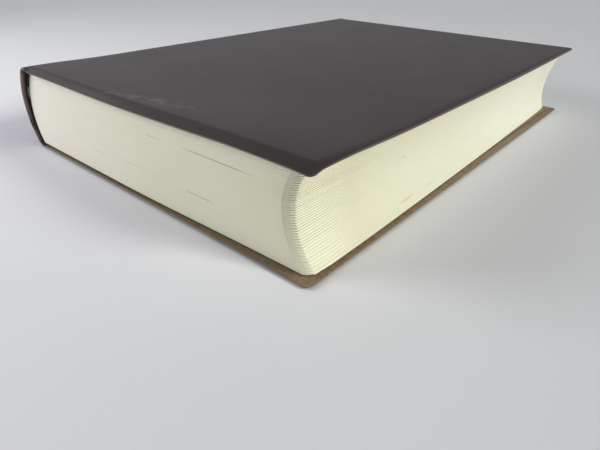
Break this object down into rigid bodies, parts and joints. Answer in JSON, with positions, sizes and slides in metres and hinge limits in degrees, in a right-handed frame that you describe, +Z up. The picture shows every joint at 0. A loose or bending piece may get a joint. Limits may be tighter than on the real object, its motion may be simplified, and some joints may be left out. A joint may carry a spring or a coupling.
{
  "type": "dictionary",
  "caption": "Thick round-backed dictionary in a limp dark-brown case with rounded corners, lying on its back cover; cream leaves, and covers that swing open on the vinyl at the spine.",
  "frame": {"origin": "the middle of the closed book's footprint, on the surface that it lies on", "axes": "+X from the spine to the fore edge, +Y from the tail to the head, +Z up through the leaves"},
  "size_m": [0.1376, 0.187, 0.029],
  "materials": {
    "case_vinyl": "satin vinyl with a fine leather grain, scuffed",
    "leaf_paper": "thin cream paper, cut edges",
    "endpaper": "uncoated olive-brown paper",
    "case_card": "grey-brown binding card",
    "mull_cloth": "open-weave cotton",
    "lining_paper": "brown kraft paper",
    "band_cloth": "dark-brown sewn cloth over a pale core"
  },
  "bodies": {
    "text_block": {"text_block": "leaf_paper", "front_flyleaf": "endpaper", "back_flyleaf": "endpaper", "spine_mull": "mull_cloth", "spine_lining": "lining_paper", "head_band": "band_cloth", "tail_band": "band_cloth", "spine_inlay": "case_card", "spine_cover": "case_vinyl"},
    "front_cover": {"front_cover": "case_vinyl", "front_board": "case_card", "front_pastedown": "endpaper"},
    "back_cover": {"back_cover": "case_vinyl", "back_board": "case_card", "back_pastedown": "endpaper"}
  },
  "joints": [
    {"name": "front_cover_hinge", "type": "hinge", "parent": "text_block", "child": "front_cover", "pos_m": [-0.05973, 0, 0.029], "axis": [0, -1, 0], "range_deg": [0, 180]},
    {"name": "back_cover_hinge", "type": "hinge", "parent": "text_block", "child": "back_cover", "pos_m": [-0.05973, 0, 0], "axis": [0, 1, 0], "range_deg": [0, 180]}
  ]
}
